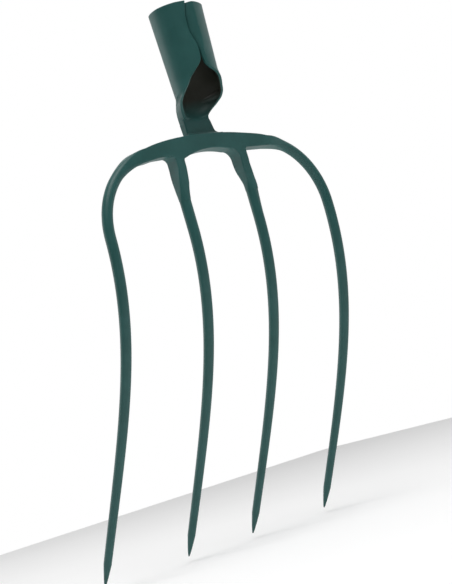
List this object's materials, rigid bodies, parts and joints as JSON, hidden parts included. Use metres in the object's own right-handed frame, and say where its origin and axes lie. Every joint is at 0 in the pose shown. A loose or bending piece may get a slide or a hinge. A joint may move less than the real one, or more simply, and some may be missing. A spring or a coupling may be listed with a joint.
{
  "type": "tined fork head",
  "caption": "Forged garden and manure fork head: long curved round tines on an arched crown, with a rolled open-seam socket for a handle.",
  "frame": {"origin": "centre of the socket's mouth, on the socket's axis", "axes": "+Z out of the socket's mouth towards the handle, +X across the width of the fork, +Y the way the tines sweep; the seam side faces -Y"},
  "size_m": [0.2394, 0.1377, 0.3932],
  "materials": {
    "green_paint": "satin dark green paint over forged steel"
  },
  "bodies": {
    "root": {"socket": "green_paint", "neck": "green_paint", "crown": "green_paint", "left_arm": "green_paint", "right_arm": "green_paint", "outer_left_tine": "green_paint", "inner_left_tine": "green_paint", "inner_right_tine": "green_paint", "outer_right_tine": "green_paint"}
  },
  "joints": []
}
